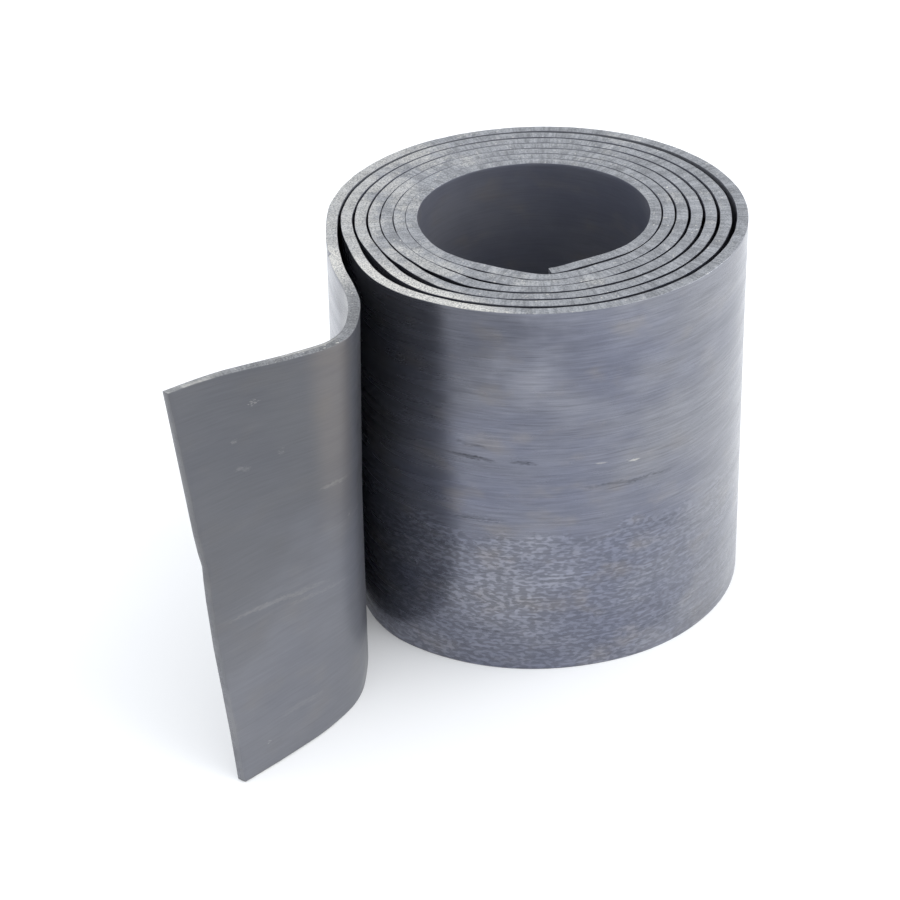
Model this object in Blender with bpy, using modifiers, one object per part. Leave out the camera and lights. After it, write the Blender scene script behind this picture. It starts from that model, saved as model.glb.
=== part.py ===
"""A roll of lead flashing that stands on its end, with its free end turned out.

Metres, +Z up. The roll is one strip, wound counter-clockwise from its inner end.
The origin lies under the middle of the whole outline, on the surface it stands on.
"""

from math import cos, floor, pi, radians, sin, sqrt, tau

import bmesh
import bpy

# The strip
strip_width = 0.100
strip_thickness = 0.0028

# The wound turns, with angles counter-clockwise from the front
bore_diameter = 0.0581
wound_turns = 6.74
inner_end_angle = radians(5)
first_gap = 0.00022
gap_growth = 0.000124
oval_depth = 0.00058
oval_angle = radians(-27)

# Each turn shifts a little against the one inside it
slack_right = 0.00014
slack_front = 0.00010

# Every turn climbs over the inner end, a little earlier each time, all in turns
first_climb = 0.964
climb_spacing = 0.973
climb_length = 0.100
climb_share = 0.90

# The free end: how far the strip runs, and its headings at the end of each run.
# A heading is the angle from straight ahead towards the right, seen from above.
peel_run = 0.0336
peel_heading = radians(14.5)
return_run = 0.0206
return_heading_top = radians(-3)
return_heading_foot = radians(-2)
bend_run = 0.0208
bend_heading_top = radians(-60)
bend_heading_foot = radians(-31)
flat_run = 0.0109
flat_heading_top = radians(-69)
flat_heading_foot = radians(-40)
end_run = 0.0213
end_heading_top = radians(-53)
end_heading_foot = radians(-43)

# How finely the curves are cut
steps_per_turn = 72
tail_step = 0.0016

collection_name = "roll_of_lead_flashing"
strip_name = "lead_strip"


def clear_scene():
    for item in list(bpy.data.objects):
        bpy.data.objects.remove(item, do_unlink=True)


def make_collection():
    group = bpy.data.collections.new(collection_name)
    bpy.context.scene.collection.children.link(group)
    return group


def lead_material():
    lead = bpy.data.materials.new("lead")
    lead.use_nodes = True
    surface = lead.node_tree.nodes["Principled BSDF"]
    surface.inputs["Base Color"].default_value = (0.20, 0.21, 0.24, 1)
    surface.inputs["Metallic"].default_value = 0.9
    surface.inputs["Roughness"].default_value = 0.48
    return lead


def ease(share):
    """Goes from 0 to 1 with a soft start and a soft end."""
    share = min(max(share, 0), 1)
    return share * share * (3 - 2 * share)


def layers_out(turn):
    """How many layers of strip lie inside this point of the winding."""
    climbs = floor(wound_turns / climb_spacing) + 1
    climbed = sum(
        ease((turn - first_climb - index * climb_spacing) / climb_length + 0.5)
        for index in range(climbs)
    )
    return climb_share * climbed + (1 - climb_share) * turn


def wound_point(turn):
    """The strip's centre line in plan, this many turns from the inner end."""
    angle = inner_end_angle + tau * turn
    layers = layers_out(turn)
    radius = (bore_diameter + strip_thickness) / 2
    radius += layers * (strip_thickness + first_gap)
    radius += gap_growth * layers * layers / 2
    radius += oval_depth * cos(2 * (angle - oval_angle))
    x = slack_right * turn + radius * sin(angle)
    y = -slack_front * turn - radius * cos(angle)
    return x, y


def wound_line():
    count = round(wound_turns * steps_per_turn)
    return [wound_point(wound_turns * index / count) for index in range(count + 1)]


def tail_line(start, first_heading, runs):
    """The plan line of the free end, turned smoothly from heading to heading."""
    x, y = start
    heading = first_heading
    points = []
    for length, next_heading in runs:
        count = max(round(length / tail_step), 2)
        step = length / count
        for index in range(count):
            angle = heading + (next_heading - heading) * ease((index + 0.5) / count)
            x += step * sin(angle)
            y -= step * cos(angle)
            points.append((x, y))
        heading = next_heading
    return points


def start_heading():
    """The winding's own heading where the free end leaves it."""
    return inner_end_angle + tau * wound_turns - 1.5 * pi - tau * floor(wound_turns)


def tail_runs(return_heading, bend_heading, flat_heading, end_heading):
    return [
        (peel_run, peel_heading),
        (return_run, return_heading),
        (bend_run, bend_heading),
        (flat_run, flat_heading),
        (end_run, end_heading),
    ]


def foot_and_top_lines():
    """The strip's centre line in plan, along its foot and along its top."""
    wound = wound_line()
    start = start_heading()
    foot_runs = tail_runs(
        return_heading_foot, bend_heading_foot, flat_heading_foot, end_heading_foot
    )
    top_runs = tail_runs(
        return_heading_top, bend_heading_top, flat_heading_top, end_heading_top
    )
    foot = wound + tail_line(wound[-1], start, foot_runs)
    top = wound + tail_line(wound[-1], start, top_runs)
    return foot, top


def both_sides(line):
    """The strip's two sides in plan, half its thickness from its centre line."""
    sides = []
    for before, after in zip(line, line[1:]):
        run_x = after[0] - before[0]
        run_y = after[1] - before[1]
        half = strip_thickness / 2 / sqrt(run_x ** 2 + run_y ** 2)
        for x, y in (before, after):
            sides.append((x - run_y * half, y + run_x * half))
            sides.append((x + run_y * half, y - run_x * half))
    return sides


def outline_middle(foot, top):
    """The middle of the whole outline in plan."""
    sides = both_sides(foot) + both_sides(top)
    across = [x for x, y in sides]
    along = [y for x, y in sides]
    return (min(across) + max(across)) / 2, (min(along) + max(along)) / 2


def ruling(foot, top):
    """The foot and top points of one line across the strip, which keeps its full width."""
    across = sqrt((top[0] - foot[0]) ** 2 + (top[1] - foot[1]) ** 2)
    # A leaning cut edge rests on its corner, so its middle is lifted
    lift = strip_thickness / 2 * across / strip_width
    rise = sqrt(strip_width ** 2 - across ** 2)
    return (foot[0], foot[1], lift), (top[0], top[1], lift + rise)


def strip_surface():
    """The strip's middle surface, from the inner end to the free end."""
    foot, top = foot_and_top_lines()
    middle_x, middle_y = outline_middle(foot, top)
    shape = bmesh.new()
    before = None
    for foot_point, top_point in zip(foot, top):
        line = [shape.verts.new(point) for point in ruling(foot_point, top_point)]
        if before:
            shape.faces.new((before[0], before[1], line[1], line[0]))
        before = line
    bmesh.ops.translate(shape, vec=(-middle_x, -middle_y, 0), verts=shape.verts)
    return shape


def add_strip(group, lead):
    shape = strip_surface()
    mesh = bpy.data.meshes.new(strip_name)
    shape.to_mesh(mesh)
    shape.free()
    mesh.materials.append(lead)
    mesh.shade_smooth()
    mesh.set_sharp_from_angle(angle=radians(40))
    strip = bpy.data.objects.new(strip_name, mesh)
    group.objects.link(strip)
    solid = strip.modifiers.new("thickness", "SOLIDIFY")
    solid.thickness = strip_thickness
    solid.offset = 0
    solid.use_even_offset = True
    return strip


def build():
    clear_scene()
    group = make_collection()
    lead = lead_material()
    add_strip(group, lead)


build()
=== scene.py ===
"""A roll of lead flashing on a pale floor, with its worn edges and the marks of handling, and with
painted light, shade and highlights on its surface.

Metres, +Z up, in the part's own frame. The strip follows the part's own plan lines.
"""

from math import atan2, cos, floor, pi, radians, sin, tau

import bpy
import numpy as np
from mathutils import Matrix, Vector
from mathutils.noise import noise as smooth_noise


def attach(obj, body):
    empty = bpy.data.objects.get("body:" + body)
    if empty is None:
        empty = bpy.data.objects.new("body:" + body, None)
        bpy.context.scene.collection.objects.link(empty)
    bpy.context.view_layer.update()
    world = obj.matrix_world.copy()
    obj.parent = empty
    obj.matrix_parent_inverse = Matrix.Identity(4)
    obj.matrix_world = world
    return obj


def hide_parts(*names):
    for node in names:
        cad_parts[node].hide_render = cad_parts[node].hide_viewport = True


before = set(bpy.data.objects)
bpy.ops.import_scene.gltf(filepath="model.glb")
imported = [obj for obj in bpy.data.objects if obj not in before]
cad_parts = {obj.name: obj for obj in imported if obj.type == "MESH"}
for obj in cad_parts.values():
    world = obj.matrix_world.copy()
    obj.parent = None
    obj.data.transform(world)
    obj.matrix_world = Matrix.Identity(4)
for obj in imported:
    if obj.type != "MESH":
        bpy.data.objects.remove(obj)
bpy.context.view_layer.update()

# The strip and its plan line, with the same values as the part's source
strip_width = 0.100
strip_thickness = 0.0028
bore_diameter = 0.0581
wound_turns = 6.74
inner_end_angle = radians(5)
first_gap = 0.00022
gap_growth = 0.000124
oval_depth = 0.00058
oval_angle = radians(-27)
slack_right = 0.00014
slack_front = 0.00010
first_climb = 0.964
climb_spacing = 0.973
climb_length = 0.100
climb_share = 0.90
peel_run = 0.0336
peel_heading = radians(14.5)
return_run = 0.0206
return_heading_top = radians(-3)
return_heading_foot = radians(-2)
bend_run = 0.0208
bend_heading_top = radians(-60)
bend_heading_foot = radians(-31)
flat_run = 0.0109
flat_heading_top = radians(-69)
flat_heading_foot = radians(-40)
end_run = 0.0213
end_heading_top = radians(-53)
end_heading_foot = radians(-43)

# Where the middle of the winding stands in the part's frame
winding_x = 0.014859
winding_y = 0.024409

# How finely the strip is laid out
plan_points_per_turn = 360
plan_step = 0.0004
station_step = 0.00098

# The rounded corners, with extra stations there at both ends, as shares of the corner
corner_radius = 0.00018
corner_stations = (0.3, 0.75)

# The cut edges are a little crowned, with a row of points at this share of their flat half
edge_crown = 0.00006
edge_row = 0.55

# Rises of the rows of points up each face, and how far apart its direction is measured
face_rises = (0.0008, 0.004, 0.012, 0.024, 0.036, 0.048, 0.053, 0.0565)
face_rises += (0.060, 0.065, 0.074, 0.085, 0.094, 0.0990)
normal_probe = 0.0005

# How far the free end keeps its upper line before it spreads towards its foot
bend_spread = 0.75
end_spread = -0.30

# The free end's own edge, as rises up the strip and how far the edge runs on there
edge_rises = (0.0, 0.012, 0.035, 0.050, 0.0565, 0.062, 0.080, 0.100)
edge_shifts = (-0.0004, -0.0002, 0.0005, 0.0002, -0.0004, 0.0003, 0.0005, 0.0005)
edge_shift_reach = 0.012

# A notch in the top edge just after the strip leaves the roll
notch_run = 0.2611
notch_reach = 0.0013
notch_depth = 0.0009

# Small unevenness of a soft sheet that has been handled
shared_dent = 0.00014
shared_dent_waves = 2.2
shared_dent_rise_waves = 22
own_dent = 0.00004
own_dent_run_waves = 45
own_dent_rise_waves = 30
own_dent_seed = 7.5

# The edges wander up and down and ripple: waves a metre and the noise's own seed
edge_wander = 0.00012
edge_ripple = 0.00005
top_wander_noise = (14, 1.5)
top_ripple_noise = (160, 2.5)
foot_wander_noise = (18, 3.5)
foot_wander_lift = 0.6
foot_wander_share = 0.5

# Burrs at the corners of the top edge, kept to a share of the gap that they stand in
burr_size = 0.00012
burr_reach = 0.0009
burr_waves = 220
burr_seeds = {1: 11.5, -1: 17.5}
burr_contrast = 1.6
burr_lift = 0.2
burr_gap_share = 0.2

# The cut edges were smeared towards each other, most between the inner turns at the left front
smear_everywhere = 0.25
smear_inside = 0.75
smear_bearing = radians(-45)
smear_waves = 130
smear_seed = 21.5
smear_contrast = 1.5
smear_threshold = 0.42
smear_most = 0.92
smear_inner_start = 1.3
smear_inner_turns = 3

# The smearing fades out towards the outer turns, and there is none past this turn
smear_last_turn = 5.2
smear_fade = 2.0

# The outer turn stands off the one inside it at the right and behind it
parted_bearing = radians(125)
parted_reach = 0.20
parted_out = 0.00042
parted_in = 0.00016

# The inner end stayed straighter than its turn: it sags into the bore and kicks out at its tip,
# and the turns over it follow a little. One value for each turn, from the inner one.
inner_end_trim = 0.0012
tip_kicks = (0.00090, 0.00064, 0.00034, 0.00012)
tip_kick_reach = 0.050
tip_sags = (0.0010, 0.0002, 0.0002, 0.0001)
tip_sag_turn = 0.070
tip_sag_reach = 0.085

# The free end's bend bulges a little further right towards its top
bulge_run = 0.020
bulge_reach = 0.030
bulge_shift = 0.0013

# The camera, which looks down on the roll from the front
camera_place = (0.015833, -0.642442, 0.423921)
camera_down = 0.53097
camera_turn = -0.03400
camera_roll = 0.01742
camera_lens = 119.44
sensor_width = 36

# The studio
floor_reach = 30
floor_white = 0.80
floor_rough = 0.9
floor_glow = 0.12
sky_colour = (0.93, 0.96, 1.0)
sky_strength = 1.28
lamp_target = (0, 0, 0.05)
key_place = (1.5, -0.7, 1.6)
key_size = 1.6
key_power = 15
side_place = (1.6, 0.4, 0.6)
side_size = 0.9
side_power = 9
back_place = (-1.2, 1.3, 1.5)
back_size = 1.4
back_power = 7

# The lead's colours
sheet_dark = (0.145, 0.153, 0.196, 1)
sheet_light = (0.205, 0.210, 0.243, 1)
sheet_brown = (0.225, 0.212, 0.210, 1)
# Painted light: the lighter grey that the outer turn takes from its front towards the right
painted_light_grey = (0.245, 0.250, 0.268, 1)
# Painted reflection: the warm tint of a reflection on the free end's inner face
painted_reflection_warmth = (1.36, 1.26, 1.14, 1)
inside_shade = 0.80
cut_dark = (0.150, 0.155, 0.168, 1)
cut_light = (0.290, 0.297, 0.313, 1)
# The cream of worn spots, also used for painted light and painted highlights
worn_and_highlight_cream = (0.64, 0.62, 0.57, 1)
outside_metal = 0.84
inside_metal = 0.36
cut_metal = 0.60

# The sheared ends of the strip are smoother than its long cut edges, and keep the sheet's darker
# colour as painted shade on the end faces
painted_shade_end_cut_share = 0.1
end_cut_reach = 0.0002

# Where the outer face gives way to the inner one, as shares of half the thickness
side_blend = (-0.1, 0.1)

# Most noise lies between these two values
noise_low = 0.3
noise_high = 0.7

# How far a noise's shift moves it up the strip and through it
shift_up = 1.7
shift_through = 2.3

# Each noise below gives its waves a metre along the strip, up it and through it, its shift, its
# detail, and where they aren't the usual ones its roughness and its distortion. Each change gives
# where it begins and ends, and where it doesn't go from 0 to 1 also what it goes from and to.

# The sheet's patches
patch_noise = ((30, 42, 300), 3.1, 4)
patch_change = (0.32, 0.68)
patch_shift = 0.014
brown_noise = ((90, 130, 300), 9.4, 4)
brown_change = (0.50, 0.75, 0.0, 0.5)

# The sheet's slow changes along the strip, as runs, and up it, as rises. Painted light makes the
# outer turn greyer from its front towards the right, and painted shade darkens the roll's upper
# left beside the free end. The sheet is lighter near the foot and the free end darker. Painted
# shade darkens the free end's hollow and towards its top, and a warm reflection is painted on its
# inner face.
painted_light_run = (0.0, 0.055, 0.0, 0.55)
painted_corner_shade_run = (-0.018, 0.012, 1.0, 0.0)
painted_corner_shade_rise = (0.050, 0.095)
painted_corner_shade_factor = 0.62
lower_part_rise = (0.030, 0.055, 1.08, 1.0)
free_end_run = (0.250, 0.290)
free_end_shade = 0.77
painted_hollow_shade = 0.86
painted_top_shade_rise = (0.010, 0.090)
painted_top_shade_factor = 0.66
painted_reflection_start = (0.3015, 0.3065)
painted_reflection_end = (0.3110, 0.3170, 1.0, 0.0)
painted_reflection_rise = (0.040, 0.080)

# Rolling streaks from fine to broad, and sparse dark dashes, each with its noise and its change
rolling_streaks = (
    (((140, 3000, 300), 5.3, 3), (0.3, 0.7, 0.91, 1.09)),
    (((50, 1300, 300), 8.1, 3), (0.3, 0.7, 0.94, 1.06)),
    (((70, 210, 300), 6.1, 4), (0.3, 0.7, 0.95, 1.05)),
    (((90, 1900, 300), 8.8, 1), (0.62, 0.80, 1.0, 0.80)),
)
inside_streak_share = 0.42

# The flecked part of the outer face reaches this far up, with an uneven border
fleck_height = 0.0395
fleck_border = (fleck_height - 0.0012, fleck_height + 0.0010, 1.0, 0.0)
fleck_border_noise = ((70, 0, 300), 1.9, 4, 0.65)
fleck_border_change = (0.25, 0.75, -0.004, 0.004)
fleck_noise = ((540, 1250, 300), 4.2, 1.2, 0.45, 0.25)
fleck_tones = (0.45, 0.59, 0.82, 1.28)
fleck_strength = (0.35, 0.65, 0.65, 1.0)
fleck_fade = (0.014, 0.048, 1.0, 0.34)
fleck_fade_shift = 0.010

# The marks have uneven outlines and are broken up inside
mark_wave_noise = ((110, 60, 0), 2.2, 2)
mark_wave_change = (0.2, 0.8, -0.0003, 0.0003)
mark_jag_noise = ((900, 2400, 0), 4.6, 3, 0.7)
mark_jag_rise = 0.00032
mark_jag_run = 0.0009
mark_break_noise = ((420, 2600, 0), 6.6, 2)
mark_break_change = (0.36, 0.60, 0.45, 1.0)
mark_core = 0.15

# Marks on the outer face: run from the front, rise, half length, half height, slope, strength
dark_marks = (
    (-0.0155, 0.0600, 0.0068, 0.00070, -0.06, 0.62),
    (-0.0032, 0.0596, 0.0034, 0.00055, 0.0, 0.58),
    (-0.0160, 0.0635, 0.0050, 0.00055, -0.10, 0.35),
    (-0.0145, 0.0430, 0.0085, 0.00055, 0.05, 0.40),
    (0.0220, 0.0517, 0.0150, 0.00050, -0.04, 0.38),
    (-0.0100, 0.0105, 0.0080, 0.00050, -0.05, 0.25),
)
light_marks = (
    (0.0152, 0.0583, 0.0018, 0.00030, -0.1, 0.35),
    (0.0237, 0.0570, 0.0020, 0.00045, -0.1, 0.55),
)
inside_marks = (
    (0.3288, 0.0917, 0.0013, 0.0006, 0.3, 0.32),
    (0.3233, 0.0775, 0.0009, 0.0007, 0.8, 0.12),
    (0.3350, 0.0833, 0.0009, 0.0006, 0.0, 0.12),
    (0.3341, 0.0762, 0.0022, 0.0008, 0.3, 0.09),
    (0.3053, 0.0534, 0.0005, 0.0005, 0.0, 0.35),
    (0.3395, 0.0064, 0.0006, 0.0006, 0.0, 0.30),
    (0.3098, 0.0640, 0.0050, 0.0006, 0.02, 0.13),
    (0.3291, 0.0403, 0.0200, 0.0007, 0.087, 0.10),
    (0.3170, 0.0372, 0.0130, 0.0006, 0.070, 0.07),
    (0.3268, 0.0109, 0.0090, 0.0009, 0.03, 0.07),
)
# Painted highlights along stretches of the top edge: run, depth through the strip, then as above
painted_edge_highlights = (
    (0.2650, 0.0009, 0.0034, 0.0006, 0.0, 0.70),
    (0.2745, 0.0010, 0.0050, 0.0005, 0.0, 0.45),
    (0.3140, 0.0009, 0.0120, 0.0006, 0.0, 0.55),
)
painted_edge_highlight_change = (0.35, 0.6, 0.5, 1.0)

# The cut edge's grain, the strokes across it, and its clouds and specks
grain_noise = ((2300, 2300, 2300), 7.7, 3, 0.7)
grain_share = 0.66
stroke_noise = ((1500, 300, 160), 3.9, 2)
stroke_share = 0.34
cut_change = (0.41, 0.59)
cloud_noise = ((330, 330, 330), 4.4, 3)
cloud_tones = (0.84, 1.16)
speck_noise = ((1300, 1300, 1300), 6.2, 1)
speck_change = (0.68, 0.80, 0.0, 0.7)

# Where the cut edge is made creamy: painted light at the left, worn stains, and a worn rim with a
# painted highlight along the outer rim's front left. The free end's top edge keeps little of it
# and is darker.
stain_noise = ((90, 90, 90), 2.7, 4, 0.65)
stain_change = (0.56, 0.72, 0.0, 0.35)
painted_light_left = (-0.044, -0.016, 0.50, 0.0)
painted_light_left_shift = 0.020
rim_wear_and_highlight_side = (-0.64, -0.77, 0)
rim_wear_and_highlight = (0.0410, 0.0475, 0.0, 0.92)
wear_and_light_grain_change = (0.40, 0.58, 0.15, 1.0)
cut_free_end_run = (0.262, 0.290)
cut_free_end_wear_and_light = 0.08
cut_free_end_shade = 0.66
# A painted highlight along the free end's top edge near its end
painted_highlight_run = (0.330, 0.342)
painted_highlight_change = (0.4, 0.6, 0.1, 0.6)

# Fine height of the sheet and of the cut edge, in metres
rolled_noise = ((80, 2600, 300), 5.3, 2)
rolled_height = 0.000003
dent_noise = ((150, 190, 300), 4.9, 2)
dent_height = 0.000012
cut_grain_noise = ((1900, 1900, 1900), 7.7, 3)
cut_grain_height = 0.00009

# How rough the outer face is, by its noise, and how much rougher the inner face and the cut edge
outside_rough = (0.23, 0.30)
inside_rougher = 0.10
cut_rougher = 0.18
gloss_noise = ((40, 300, 300), 6.3, 2)


def ease(share):
    """Goes from 0 to 1 with a soft start and a soft end."""
    share = np.clip(share, 0, 1)
    return share * share * (3 - 2 * share)


def layers_out(turn):
    """How many layers of strip lie inside this point of the winding."""
    climbs = floor(wound_turns / climb_spacing) + 1
    climbed = sum(
        ease((turn - first_climb - index * climb_spacing) / climb_length + 0.5)
        for index in range(climbs)
    )
    return climb_share * climbed + (1 - climb_share) * turn


def parting(turn):
    """How far the outer turn is pushed out there, and the one inside it in."""
    outer = floor(wound_turns) + (parted_bearing - inner_end_angle) / tau
    out = ease(1 - np.abs(turn - outer) / parted_reach)
    inward = ease(1 - np.abs(turn - outer + 1) / parted_reach)
    return parted_out * out - parted_in * inward


def tip_push(turn):
    """How far the stiff inner end pushes itself and the turns over it out of round."""
    push = 0
    for count, (kick, sag) in enumerate(zip(tip_kicks, tip_sags)):
        push = push + kick * ease(1 - np.abs(turn - count) / tip_kick_reach)
        push = push - sag * ease(1 - np.abs(turn - count - tip_sag_turn) / tip_sag_reach)
    return push


def wound_radius(turn):
    """The distance of the strip's centre line from the middle of its own turn."""
    angle = inner_end_angle + tau * turn
    layers = layers_out(turn)
    radius = (bore_diameter + strip_thickness) / 2
    radius = radius + layers * (strip_thickness + first_gap)
    radius += gap_growth * layers * layers / 2
    radius += oval_depth * np.cos(2 * (angle - oval_angle))
    return radius + parting(turn) + tip_push(turn)


def wound_plan():
    """The plan line of the wound turns, from the inner end."""
    turn = np.linspace(0, wound_turns, round(wound_turns * plan_points_per_turn) + 1)
    angle = inner_end_angle + tau * turn
    radius = wound_radius(turn)
    x = slack_right * turn + radius * np.sin(angle)
    y = -slack_front * turn - radius * np.cos(angle)
    return turn, np.stack([x, y], axis=1)


def tail_plan(start, runs):
    """The plan line of the free end, turned smoothly from heading to heading."""
    place = np.array(start)
    heading = inner_end_angle + tau * wound_turns - 1.5 * pi - tau * floor(wound_turns)
    points = []
    lengths = []
    for length, next_heading in runs:
        count = round(length / plan_step)
        step = length / count
        for index in range(count):
            angle = heading + (next_heading - heading) * ease((index + 0.5) / count)
            place = place + step * np.array([sin(angle), -cos(angle)])
            points.append(place)
            lengths.append(step)
        heading = next_heading
    return np.array(points), np.cumsum(lengths)


def tail_runs(return_heading, bend_heading, flat_heading, end_heading):
    return [
        (peel_run, peel_heading),
        (return_run, return_heading),
        (bend_run, bend_heading),
        (flat_run, flat_heading),
        (end_run, end_heading),
    ]


def resampled(line, run, stations):
    x = np.interp(stations, run, line[:, 0])
    y = np.interp(stations, run, line[:, 1])
    return np.stack([x, y], axis=1)


def strip_lines():
    """Foot and top lines at even stations, each station's run, and where the roll's front is."""
    turn, wound = wound_plan()
    steps = np.hypot(*np.diff(wound, axis=0).T)
    wound_run = np.concatenate([[0], np.cumsum(steps)])
    foot_runs = tail_runs(
        return_heading_foot, bend_heading_foot, flat_heading_foot, end_heading_foot
    )
    top_runs = tail_runs(return_heading_top, bend_heading_top, flat_heading_top, end_heading_top)
    foot_tail, tail_run = tail_plan(wound[-1], foot_runs)
    top_tail, _ = tail_plan(wound[-1], top_runs)
    run = np.concatenate([wound_run, wound_run[-1] + tail_run])
    stations = np.linspace(inner_end_trim, run[-1], round(run[-1] / station_step) + 1)
    stations = with_rounded_ends(stations)
    foot = resampled(np.concatenate([wound, foot_tail]), run, stations)
    top = resampled(np.concatenate([wound, top_tail]), run, stations)
    outer_front_turn = floor(wound_turns) - inner_end_angle / tau
    front_run = np.interp(outer_front_turn, turn, wound_run)
    turns = np.interp(stations, wound_run, turn)
    return foot, top, stations, turns, front_run, wound_run[-1]


def with_rounded_ends(stations):
    """Adds stations close to both ends, where the strip's end edges are rounded."""
    near = np.array(corner_stations) * corner_radius
    first = stations[0] + near
    last = stations[-1] - near[::-1]
    return np.concatenate([stations[:1], first, stations[1:-1], last, stations[-1:]])


def end_thinning(stations):
    """How much of its thickness the strip keeps at each station."""
    gap = np.minimum(stations - stations[0], stations[-1] - stations)
    share = np.clip(gap / corner_radius, 0, 1)
    rounding = corner_radius * (1 - np.sqrt(1 - (1 - share) ** 2))
    return 1 - 2 * rounding / strip_thickness


def foot_spread(stations, wound_end):
    """How much the upper line is kept at each station, most at the bend."""
    bend_start = wound_end + peel_run + return_run
    past_bend = (stations - bend_start - bend_run / 2) / (stations[-1] - bend_start - bend_run / 2)
    return bend_spread + (end_spread - bend_spread) * ease(past_bend)


def bulge(stations, wound_end, rise):
    """How far the bend stands further right at this rise."""
    bend = wound_end + peel_run + bulge_run
    near = ease(1 - np.abs(stations - bend) / bulge_reach)
    return bulge_shift * near * max(2 * rise / strip_width - 1, 0)


def gap_after(turn):
    """The gap between a point of the winding and the next turn outside it."""
    gap = wound_radius(turn + 1) - wound_radius(turn) - strip_thickness
    return np.where((turn >= 0) & (turn + 1 <= wound_turns), gap, 0)


def smear(stations, turns, side):
    """How far the top corner on one side was smeared towards the neighbouring turn."""
    gap = gap_after(turns if side > 0 else turns - 1)
    bearing = inner_end_angle + tau * turns - smear_bearing
    inner_turns = np.clip(smear_inner_start - turns / smear_inner_turns, 0, 1)
    inside = (0.5 + 0.5 * np.cos(bearing)) ** 2 * inner_turns
    amount = smear_everywhere + smear_inside * inside
    noise = noise_along(stations, smear_waves, smear_seed + side)
    patchy = noise * smear_contrast + amount * smear_contrast - smear_threshold
    patchy = np.clip(patchy, 0, smear_most)
    patchy *= ease((smear_last_turn - turns) / smear_fade)
    return np.clip(gap, 0, None) / 2 * patchy


def middle_surface(foot, top, rise, spread_out):
    """Points of the strip's middle surface at one rise, one for each station."""
    share = rise / strip_width
    share = (share + spread_out * share * (1 - share))[:, None]
    plan = foot + (top - foot) * share
    across = np.hypot(*(top - foot).T)
    height = rise * np.sqrt(1 - (across / strip_width) ** 2)
    return np.column_stack([plan, height])


def section_ring():
    """The points around the strip's section, up its outer side and down its inner side.

    Each point has its depth from the middle surface, its rise and how much it is cut edge.
    """
    half = strip_thickness / 2
    flat = half - corner_radius
    slant = corner_radius * cos(pi / 4)
    corner = (flat + slant, corner_radius - slant, 0.5)
    foot = [(0, 0, 1), (flat * edge_row, 0, 1), (flat, 0, 1), corner]
    rows = [corner_radius, *face_rises, strip_width - corner_radius]
    face = [(half, rise, 0) for rise in rows]
    top = [(depth, strip_width - rise, cut) for depth, rise, cut in reversed(foot)]
    outer = foot + face + top
    inner = [(-depth, rise, cut) for depth, rise, cut in outer[-2:0:-1]]
    return outer + inner


def edge_shift(stations, rise):
    """How far the free end runs on at this rise, so that its edge isn't quite straight."""
    shift = np.interp(rise, edge_rises, edge_shifts)
    return shift * ease(1 - (stations[-1] - stations) / edge_shift_reach)


def noise_along(stations, waves_per_metre, seed):
    """Smooth noise from -1 to 1 along the strip."""
    return np.array([smooth_noise(Vector((run * waves_per_metre, seed, 0.5))) for run in stations])


def dent_depth(points, stations, rise):
    """How far the sheet is pushed in or out, mostly alike in turns that lie on each other."""
    depth = np.empty(len(stations))
    waves = shared_dent_waves
    for index, (point, run) in enumerate(zip(points, stations)):
        bearing = atan2(point[1], point[0])
        shared = Vector((cos(bearing) * waves, sin(bearing) * waves, rise * shared_dent_rise_waves))
        own = Vector((run * own_dent_run_waves, rise * own_dent_rise_waves, own_dent_seed))
        depth[index] = shared_dent * smooth_noise(shared) + own_dent * smooth_noise(own)
    return depth


def corner_burrs(stations, turns):
    """How far the top edge's corners stand out on the outer side (1) and the inner side (-1)."""
    burrs = {}
    for side, seed in burr_seeds.items():
        noise = noise_along(stations, burr_waves, seed)
        ragged = burr_size * np.clip(noise * burr_contrast + burr_lift, 0, 1)
        gap = gap_after(turns if side > 0 else turns - 1)
        free = np.where(gap > 0, np.minimum(ragged, gap * burr_gap_share), ragged)
        burrs[side] = np.maximum(free, smear(stations, turns, side))
    return burrs


def edge_lifts(stations):
    """How far the top edge and the foot edge wander up and down along the strip."""
    wander = edge_wander * noise_along(stations, *top_wander_noise)
    ripple = edge_ripple * noise_along(stations, *top_ripple_noise)
    foot = edge_wander * (noise_along(stations, *foot_wander_noise) + foot_wander_lift)
    return wander + ripple, foot * foot_wander_share


def face_at(rise, lines, spread_out):
    """The middle surface at one rise: its points, its direction along the strip, its normals."""
    foot, top, stations, _, _, wound_end = lines
    middle = middle_surface(foot, top, rise, spread_out)
    middle[:, 0] += bulge(stations, wound_end, rise)
    along = np.gradient(middle, stations, axis=0)
    upward = middle_surface(foot, top, rise + normal_probe, spread_out)
    upward = upward - middle_surface(foot, top, rise - normal_probe, spread_out)
    normal = np.cross(along, upward)
    normal /= np.linalg.norm(normal, axis=1)[:, None]
    return middle, along, normal


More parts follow.
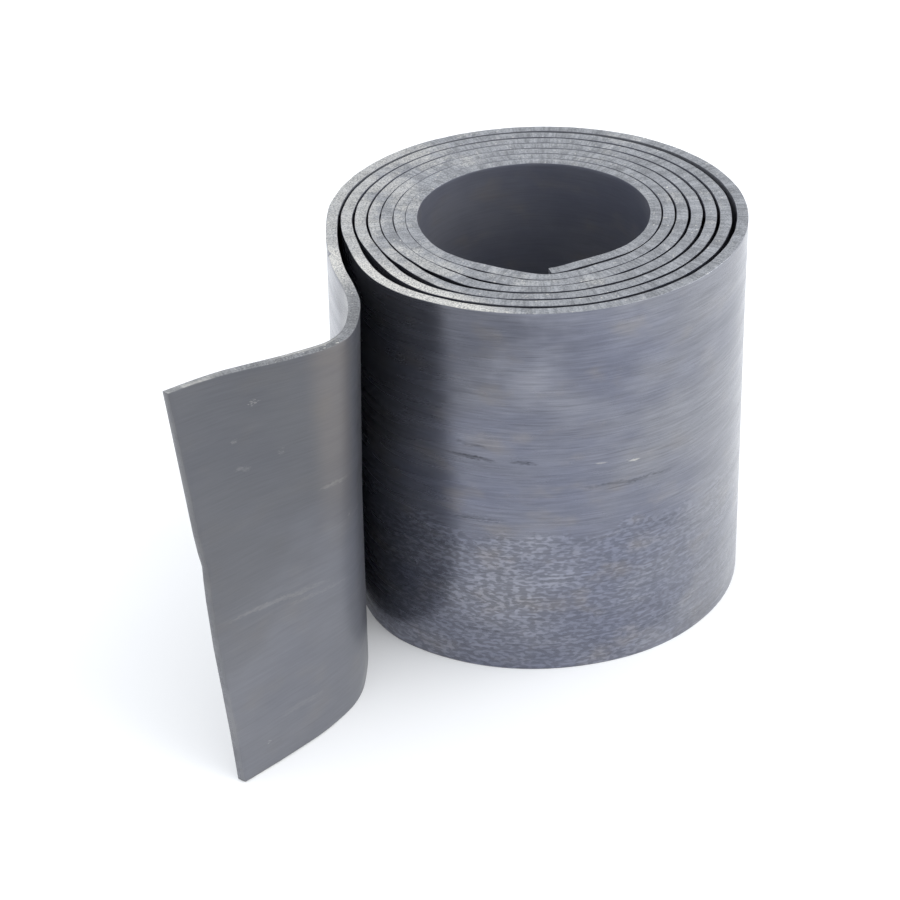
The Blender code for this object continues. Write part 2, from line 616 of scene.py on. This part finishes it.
def strip_points():
    """The strip's surface as rings of points, with each point's place on the strip."""
    lines = strip_lines()
    _, _, stations, turns, front_run, wound_end = lines
    spread_out = foot_spread(stations, wound_end)
    keep = end_thinning(stations)
    burrs = corner_burrs(stations, turns)
    top_lift, foot_lift = edge_lifts(stations)
    notch = notch_depth * ease(1 - np.abs(stations - front_run - notch_run) / notch_reach)
    # The strip's ends take little of the cut edge's pale colour: painted shade on the end faces
    from_end = np.minimum(stations - stations[0], stations[-1] - stations)
    end_cut = painted_shade_end_cut_share * (1 - np.clip(from_end / end_cut_reach, 0, 1))
    rings = []
    places = []
    cuts = []
    sides = []
    dents = {}
    for depth, rise, cut in section_ring():
        middle, along, normal = face_at(rise, lines, spread_out)
        if rise not in dents:
            dents[rise] = dent_depth(middle, stations, rise)
        # Soft burrs stand out at the corners of the top edge, and the notch cuts into the outer one
        side = 1 if depth > 0 else -1
        near_top = ease(1 - (strip_width - rise) / burr_reach)
        corner = near_top * abs(depth) / (strip_thickness / 2)
        reach = depth * keep + dents[rise] + side * corner * burrs[side]
        reach = reach - (side > 0) * near_top * notch
        points = middle + normal * reach[:, None]
        points += edge_shift(stations, rise)[:, None] * along
        top_share = rise / strip_width
        on_edge = cut == 1
        crown = edge_crown * (2 * depth / strip_thickness) ** 2 * on_edge
        points[:, 2] += top_share * (top_lift - crown) + (1 - top_share) * foot_lift
        rings.append(points)
        places.append(np.column_stack([stations - front_run, np.full(len(stations), rise), reach]))
        cuts.append(np.maximum(cut, end_cut))
        sides.append(np.full(len(stations), depth * 2 / strip_thickness))
    rings = np.array(rings).transpose(1, 0, 2)
    # No part of the strip goes below the floor
    rings[:, :, 2] += np.maximum(0, -rings[:, :, 2].min(axis=1))[:, None]
    around = rings.copy()
    rings[:, :, 0] += winding_x
    rings[:, :, 1] += winding_y
    places = np.array(places).transpose(1, 0, 2)
    return rings, around, places, np.array(cuts).T, np.array(sides).T


def ring_faces(count, around):
    """Quads between neighbouring rings."""
    ring = np.arange(count - 1)[:, None] * around
    here = np.arange(around)[None, :]
    after = (here + 1) % around
    first = ring + here
    second = ring + after
    return np.stack([first, first + around, second + around, second], axis=-1).reshape(-1, 4)


def end_faces(first, around, turned):
    """Closes one end of the strip with a ladder of faces across its thickness."""
    half = around // 2
    faces = []
    for index in range(half):
        here = first + index
        above = first + index + 1
        across = first + (around - index) % around
        across_above = first + around - index - 1
        face = [here, above, across_above, across]
        face = list(dict.fromkeys(face))
        faces.append(face if turned else face[::-1])
    return faces


def add_attribute(mesh, name, kind, values):
    layer = mesh.attributes.new(name, kind, "POINT")
    field = "vector" if kind == "FLOAT_VECTOR" else "value"
    layer.data.foreach_set(field, np.ascontiguousarray(values, dtype=np.float32).ravel())


def add_strip(lead):
    """The whole lead strip, with rounded and burred edges."""
    rings, around, places, cuts, sides = strip_points()
    count, ring_size, _ = rings.shape
    faces = ring_faces(count, ring_size).tolist()
    faces += end_faces(0, ring_size, True)
    faces += end_faces((count - 1) * ring_size, ring_size, False)
    mesh = bpy.data.meshes.new("rolled_lead_strip")
    mesh.from_pydata(rings.reshape(-1, 3).tolist(), [], faces)
    mesh.validate()
    add_attribute(mesh, "strip_place", "FLOAT_VECTOR", places)
    add_attribute(mesh, "winding_place", "FLOAT_VECTOR", around)
    add_attribute(mesh, "cut_edge", "FLOAT", cuts)
    add_attribute(mesh, "strip_side", "FLOAT", sides)
    mesh.materials.append(lead)
    mesh.shade_smooth()
    strip = bpy.data.objects.new("rolled_lead_strip", mesh)
    bpy.context.scene.collection.objects.link(strip)
    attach(strip, "root")
    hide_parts("lead_strip")


def node(tree, kind, inputs=None, **settings):
    """One node with its settings; an input is a value or another node's output."""
    made = tree.nodes.new(kind)
    for name, value in settings.items():
        setattr(made, name, value)
    for name, value in (inputs or {}).items():
        socket = made.inputs[name]
        if isinstance(value, bpy.types.NodeSocket):
            tree.links.new(value, socket)
        else:
            socket.default_value = value
    return made


def math(tree, operation, first, second=0.0):
    return node(tree, "ShaderNodeMath", {0: first, 1: second}, operation=operation).outputs[0]


def spread(tree, value, low, high, start=0.0, end=1.0):
    """Takes low..high smoothly to start..end and holds it there outside."""
    inputs = {"Value": value, "From Min": low, "From Max": high, "To Min": start, "To Max": end}
    made = node(tree, "ShaderNodeMapRange", inputs, interpolation_type="SMOOTHSTEP")
    return made.outputs["Result"]


def swing(tree, noise, start, end):
    """Takes most of a noise's range smoothly to start..end."""
    return spread(tree, noise, noise_low, noise_high, start, end)


def separate(tree, place):
    """A place's run (X), rise (Y) and depth (Z)."""
    return node(tree, "ShaderNodeSeparateXYZ", {"Vector": place}).outputs


def texture(tree, place, waves, shift=0.0, detail=2.0, rough=0.5, distortion=0.0):
    """Noise with so many waves a metre along the strip, up it and through it."""
    moved = (shift, shift * shift_up, shift * shift_through)
    inputs = {"Vector": place, "Location": moved, "Scale": waves}
    mapped = node(tree, "ShaderNodeMapping", inputs).outputs[0]
    inputs = {"Vector": mapped, "Scale": 1.0, "Detail": detail, "Roughness": rough}
    inputs["Distortion"] = distortion
    return node(tree, "ShaderNodeTexNoise", inputs).outputs["Fac"]


def blend_colour(tree, share, first, second, mode="MIX"):
    made = node(tree, "ShaderNodeMix", {0: share, 6: first, 7: second}, data_type="RGBA")
    made.blend_type = mode
    return made.outputs[2]


def colour(red, green, blue):
    return (red, green, blue, 1)


def attribute(tree, name, output="Vector"):
    return node(tree, "ShaderNodeAttribute", attribute_name=name).outputs[output]


def product(tree, values):
    result = values[0]
    for value in values[1:]:
        result = math(tree, "MULTIPLY", result, value)
    return result


def shaded(tree, base, shade):
    """A colour made lighter or darker by a factor."""
    return blend_colour(tree, 1.0, base, shade, "MULTIPLY")


def shaded_where(tree, base, where, shade):
    """A colour kept where a share is 0, and made lighter or darker where it is 1."""
    return shaded(tree, base, spread(tree, where, 0.0, 1.0, 1.0, shade))


def squared_share(tree, distance, half):
    share = math(tree, "ABSOLUTE", math(tree, "DIVIDE", distance, half))
    return math(tree, "POWER", share, 2.0)


def mark(tree, run, rise, values):
    """One soft streak at its own place on the sheet, as strong as it says in its middle."""
    middle_run, middle_rise, half_run, half_rise, slope, strength = values
    along = math(tree, "SUBTRACT", run, middle_run)
    line = math(tree, "MULTIPLY_ADD", along, slope)
    line.node.inputs[2].default_value = middle_rise
    across = math(tree, "SUBTRACT", rise, line)
    along = squared_share(tree, along, half_run)
    across = squared_share(tree, across, half_rise)
    return spread(tree, math(tree, "ADD", along, across), mark_core, 1.0, strength, 0.0)


def ragged_place(tree, place, parts):
    """Run and rise made uneven for the marks' outlines, and how much of each mark is kept."""
    wave = texture(tree, place, *mark_wave_noise)
    jags = texture(tree, place, *mark_jag_noise)
    broken = spread(tree, texture(tree, place, *mark_break_noise), *mark_break_change)
    rise = math(tree, "ADD", parts["Y"], spread(tree, wave, *mark_wave_change))
    rise = math(tree, "ADD", rise, swing(tree, jags, -mark_jag_rise, mark_jag_rise))
    run = math(tree, "ADD", parts["X"], swing(tree, jags, mark_jag_run, -mark_jag_run))
    return run, rise, broken


def marks(tree, ragged, many):
    """Several streaks, the strongest at each point."""
    run, rise, broken = ragged
    strongest = mark(tree, run, rise, many[0])
    for values in many[1:]:
        strongest = math(tree, "MAXIMUM", strongest, mark(tree, run, rise, values))
    return math(tree, "MULTIPLY", strongest, broken)


def streaks(tree, place):
    """Rolling streaks along the sheet, from fine to broad, around 1."""
    layers = [
        spread(tree, texture(tree, place, *noise), *change) for noise, change in rolling_streaks
    ]
    return product(tree, layers)


def calmer(tree, factor, amount):
    """A factor around 1 with only so much of its effect."""
    effect = math(tree, "MULTIPLY_ADD", math(tree, "SUBTRACT", factor, 1.0), amount)
    effect.node.inputs[2].default_value = 1.0
    return effect


def flecks(tree, place, parts, wave):
    """The reticulated lower part: how much there is of it, and its light and dark, around 1."""
    lights = spread(tree, texture(tree, place, *fleck_noise), *fleck_tones)
    fade = math(tree, "ADD", parts["X"], swing(tree, wave, -fleck_fade_shift, fleck_fade_shift))
    fade = spread(tree, fade, *fleck_fade)
    border = texture(tree, place, *fleck_border_noise)
    height = math(tree, "ADD", parts["Y"], spread(tree, border, *fleck_border_change))
    amount = spread(tree, height, *fleck_border)
    strength = spread(tree, wave, *fleck_strength)
    return product(tree, [amount, strength, fade]), lights


def plain_sheet(tree, place, patches):
    """Blue-grey sheet with brownish patches."""
    base = blend_colour(tree, spread(tree, patches, *patch_change), sheet_dark, sheet_light)
    brown = texture(tree, place, *brown_noise)
    return blend_colour(tree, spread(tree, brown, *brown_change), base, sheet_brown)


def toned_sheet(tree, base, parts, patches, outside):
    """The sheet with its slow changes along the strip and up it: painted light on the right,
    painted shade on the upper left, in the free end's hollow and towards its top.
    """
    shift = swing(tree, patches, -patch_shift, patch_shift)
    run = math(tree, "ADD", parts["X"], shift)
    rise = math(tree, "ADD", parts["Y"], shift)
    # Painted light: the outer turn greyer and lighter from its front towards the right
    base = blend_colour(tree, spread(tree, run, *painted_light_run), base, painted_light_grey)
    # Painted shade on the roll's upper left, beside the free end
    corner_run = spread(tree, run, *painted_corner_shade_run)
    corner_rise = spread(tree, rise, *painted_corner_shade_rise)
    painted_corner_shade = product(tree, [corner_run, corner_rise, outside])
    base = shaded_where(tree, base, painted_corner_shade, painted_corner_shade_factor)
    base = shaded(tree, base, spread(tree, rise, *lower_part_rise))
    free_end = spread(tree, run, *free_end_run)
    base = shaded_where(tree, base, free_end, free_end_shade)
    # Painted shade in the hollow of the free end's outer face
    painted_hollow = math(tree, "MULTIPLY", free_end, outside)
    base = shaded_where(tree, base, painted_hollow, painted_hollow_shade)
    # Painted shade: the free end darker towards its top
    painted_top_shade = math(tree, "MULTIPLY", free_end, spread(tree, rise, *painted_top_shade_rise))
    return shaded_where(tree, base, painted_top_shade, painted_top_shade_factor)


def painted_warm_reflection(tree, parts, inside):
    """Where a warm reflection is painted on the inner face of the free end."""
    start = spread(tree, parts["X"], *painted_reflection_start)
    end = spread(tree, parts["X"], *painted_reflection_end)
    height = spread(tree, parts["Y"], *painted_reflection_rise)
    return product(tree, [start, end, height, inside])


def marked_sheet(tree, base, ragged, outside, inside):
    """The sheet with its dark and pale handling marks."""
    dark = math(tree, "MULTIPLY", marks(tree, ragged, dark_marks), outside)
    base = shaded(tree, base, math(tree, "SUBTRACT", 1.0, dark))
    light = math(tree, "MULTIPLY", marks(tree, ragged, light_marks), outside)
    inner = math(tree, "MULTIPLY", marks(tree, ragged, inside_marks), inside)
    return blend_colour(tree, math(tree, "ADD", light, inner), base, worn_and_highlight_cream)


def sheet_colour(tree, place, parts, outside):
    """Blue-grey sheet with brownish patches, rolling streaks, flecks and handling marks."""
    inside = math(tree, "SUBTRACT", 1.0, outside)
    patches = texture(tree, place, *patch_noise)
    base = plain_sheet(tree, place, patches)
    base = toned_sheet(tree, base, parts, patches, outside)
    # Painted warm reflection on the free end's inner face
    base = blend_colour(tree, painted_warm_reflection(tree, parts, inside), base, painted_reflection_warmth, "MULTIPLY")
    streak_share = spread(tree, outside, 0.0, 1.0, inside_streak_share, 1.0)
    base = shaded(tree, base, calmer(tree, streaks(tree, place), streak_share))
    amount, lights = flecks(tree, place, parts, patches)
    base = shaded(tree, base, calmer(tree, lights, math(tree, "MULTIPLY", amount, outside)))
    base = marked_sheet(tree, base, ragged_place(tree, place, parts), outside, inside)
    return shaded(tree, base, spread(tree, outside, 0.0, 1.0, inside_shade, 1.0))


def wear_and_highlight_share(tree, parts, around, grain, stain, free_end):
    """How much the cut edge is creamy: wear, and painted light and highlights."""
    across = separate(tree, around)["X"]
    # Painted light: the top edges at the left made creamy
    left = math(tree, "ADD", across, swing(tree, stain, painted_light_left_shift, -painted_light_left_shift))
    wear_and_light = spread(tree, left, *painted_light_left)
    wear_and_light = math(tree, "MAXIMUM", wear_and_light, spread(tree, stain, *stain_change))
    # A worn rim with a painted highlight along the outer rim's front left
    aim = node(tree, "ShaderNodeVectorMath", {0: around, 1: rim_wear_and_highlight_side}, operation="DOT_PRODUCT")
    wear_and_light = math(tree, "MAXIMUM", wear_and_light, spread(tree, aim.outputs["Value"], *rim_wear_and_highlight))
    wear_and_light = math(tree, "MULTIPLY", wear_and_light, spread(tree, grain, *wear_and_light_grain_change))
    kept = spread(tree, free_end, 0.0, 1.0, 1.0, cut_free_end_wear_and_light)
    wear_and_light = math(tree, "MULTIPLY", wear_and_light, kept)
    # A painted highlight along the free end's top edge near its end
    near_end = spread(tree, parts["X"], *painted_highlight_run)
    painted_highlight = math(tree, "MULTIPLY", near_end, spread(tree, stain, *painted_highlight_change))
    wear_and_light = math(tree, "MAXIMUM", wear_and_light, painted_highlight)
    # Painted highlights along stretches of the top edge
    on_edge = (parts["X"], parts["Z"], spread(tree, stain, *painted_edge_highlight_change))
    return math(tree, "MAXIMUM", wear_and_light, marks(tree, on_edge, painted_edge_highlights))


def cut_colour(tree, place, parts, around):
    """Granular cut edge with strokes across it, creamy stains, worn spots, painted light and
    highlights.
    """
    grain = texture(tree, place, *grain_noise)
    strokes = texture(tree, place, *stroke_noise)
    grain_part = math(tree, "MULTIPLY", grain, grain_share)
    mixed = math(tree, "ADD", grain_part, math(tree, "MULTIPLY", strokes, stroke_share))
    base = blend_colour(tree, spread(tree, mixed, *cut_change), cut_dark, cut_light)
    clouds = texture(tree, place, *cloud_noise)
    base = shaded(tree, base, swing(tree, clouds, *cloud_tones))
    stain = texture(tree, around, *stain_noise)
    free_end = spread(tree, parts["X"], *cut_free_end_run)
    wear_and_light = wear_and_highlight_share(tree, parts, around, grain, stain, free_end)
    base = shaded_where(tree, base, free_end, cut_free_end_shade)
    base = blend_colour(tree, wear_and_light, base, worn_and_highlight_cream)
    specks = texture(tree, place, *speck_noise)
    return blend_colour(tree, spread(tree, specks, *speck_change), base, worn_and_highlight_cream)


def surface_bump(tree, place, cut):
    """Fine height of the sheet's streaks and of the cut edge's grain, in metres."""
    fine = math(tree, "MULTIPLY", texture(tree, place, *rolled_noise), rolled_height)
    dents = math(tree, "MULTIPLY", texture(tree, place, *dent_noise), dent_height)
    sheet = math(tree, "ADD", fine, dents)
    edge = math(tree, "MULTIPLY", texture(tree, place, *cut_grain_noise), cut_grain_height)
    height = node(tree, "ShaderNodeMix", {0: cut, 2: sheet, 3: edge}).outputs[0]
    return node(tree, "ShaderNodeBump", {"Height": height, "Distance": 1.0}).outputs[0]


def roughness(tree, place, cut, outside):
    """Smoothest on the outer face, rougher inside and roughest on the cut edge."""
    smears = texture(tree, place, *gloss_noise)
    cut_part = math(tree, "MULTIPLY", cut, cut_rougher)
    rough = math(tree, "ADD", swing(tree, smears, *outside_rough), cut_part)
    return math(tree, "ADD", rough, spread(tree, outside, 0.0, 1.0, inside_rougher, 0.0))


def lead_material():
    lead = bpy.data.materials.new("rolled_lead")
    lead.use_nodes = True
    tree = lead.node_tree
    surface = tree.nodes["Principled BSDF"]
    place = attribute(tree, "strip_place")
    parts = separate(tree, place)
    around = attribute(tree, "winding_place")
    cut = attribute(tree, "cut_edge", "Fac")
    outside = spread(tree, attribute(tree, "strip_side", "Fac"), *side_blend)
    sheet = sheet_colour(tree, place, parts, outside)
    edge = cut_colour(tree, place, parts, around)
    metal = spread(tree, outside, 0.0, 1.0, inside_metal, outside_metal)
    metal = node(tree, "ShaderNodeMix", {0: cut, 2: metal, 3: cut_metal}).outputs[0]
    tree.links.new(blend_colour(tree, cut, sheet, edge), surface.inputs["Base Color"])
    tree.links.new(roughness(tree, place, cut, outside), surface.inputs["Roughness"])
    tree.links.new(surface_bump(tree, place, cut), surface.inputs["Normal"])
    tree.links.new(metal, surface.inputs["Metallic"])
    return lead


def add_floor():
    mesh = bpy.data.meshes.new("pale_floor")
    reach = floor_reach
    corners = [(-reach, -reach, 0), (reach, -reach, 0), (reach, reach, 0), (-reach, reach, 0)]
    mesh.from_pydata(corners, [], [(0, 1, 2, 3)])
    paint = bpy.data.materials.new("pale_floor")
    paint.use_nodes = True
    surface = paint.node_tree.nodes["Principled BSDF"]
    surface.inputs["Base Color"].default_value = colour(floor_white, floor_white, floor_white)
    surface.inputs["Roughness"].default_value = floor_rough
    surface.inputs["Specular IOR Level"].default_value = 0.0
    surface.inputs["Emission Strength"].default_value = floor_glow
    mesh.materials.append(paint)
    pale_floor = bpy.data.objects.new("pale_floor", mesh)
    bpy.context.scene.collection.objects.link(pale_floor)


def add_sky():
    world = bpy.data.worlds.new("soft_surroundings")
    world.use_nodes = True
    background = world.node_tree.nodes["Background"]
    background.inputs["Color"].default_value = colour(*sky_colour)
    background.inputs["Strength"].default_value = sky_strength
    bpy.context.scene.world = world


def add_lamp(name, place, size, power):
    light = bpy.data.lights.new(name, "AREA")
    light.shape = "DISK"
    light.size = size
    light.energy = power
    lamp = bpy.data.objects.new(name, light)
    lamp.location = place
    aim = Vector(lamp_target) - Vector(place)
    lamp.rotation_euler = aim.to_track_quat("-Z", "Y").to_euler()
    bpy.context.scene.collection.objects.link(lamp)


def add_camera():
    """Looks down and a little to the left, with a slight roll."""
    ahead = Vector(
        (
            sin(camera_turn) * cos(camera_down),
            cos(camera_turn) * cos(camera_down),
            -sin(camera_down),
        )
    )
    level_right = Vector((cos(camera_turn), -sin(camera_turn), 0))
    level_down = ahead.cross(level_right)
    right = cos(camera_roll) * level_right + sin(camera_roll) * level_down
    down = -sin(camera_roll) * level_right + cos(camera_roll) * level_down
    view = bpy.data.cameras.new("camera")
    view.sensor_width = sensor_width
    view.lens = camera_lens
    camera = bpy.data.objects.new("camera", view)
    turned = Matrix((right, -down, -ahead)).transposed()
    camera.matrix_world = Matrix.Translation(camera_place) @ turned.to_4x4()
    bpy.context.scene.collection.objects.link(camera)
    bpy.context.scene.camera = camera


def set_tones():
    settings = bpy.context.scene.view_settings
    settings.view_transform = "Standard"
    settings.look = "None"


add_camera()
add_floor()
add_sky()
add_lamp("key_lamp", key_place, key_size, key_power)
add_lamp("side_lamp", side_place, side_size, side_power)
add_lamp("back_lamp", back_place, back_size, back_power)
set_tones()
add_strip(lead_material())
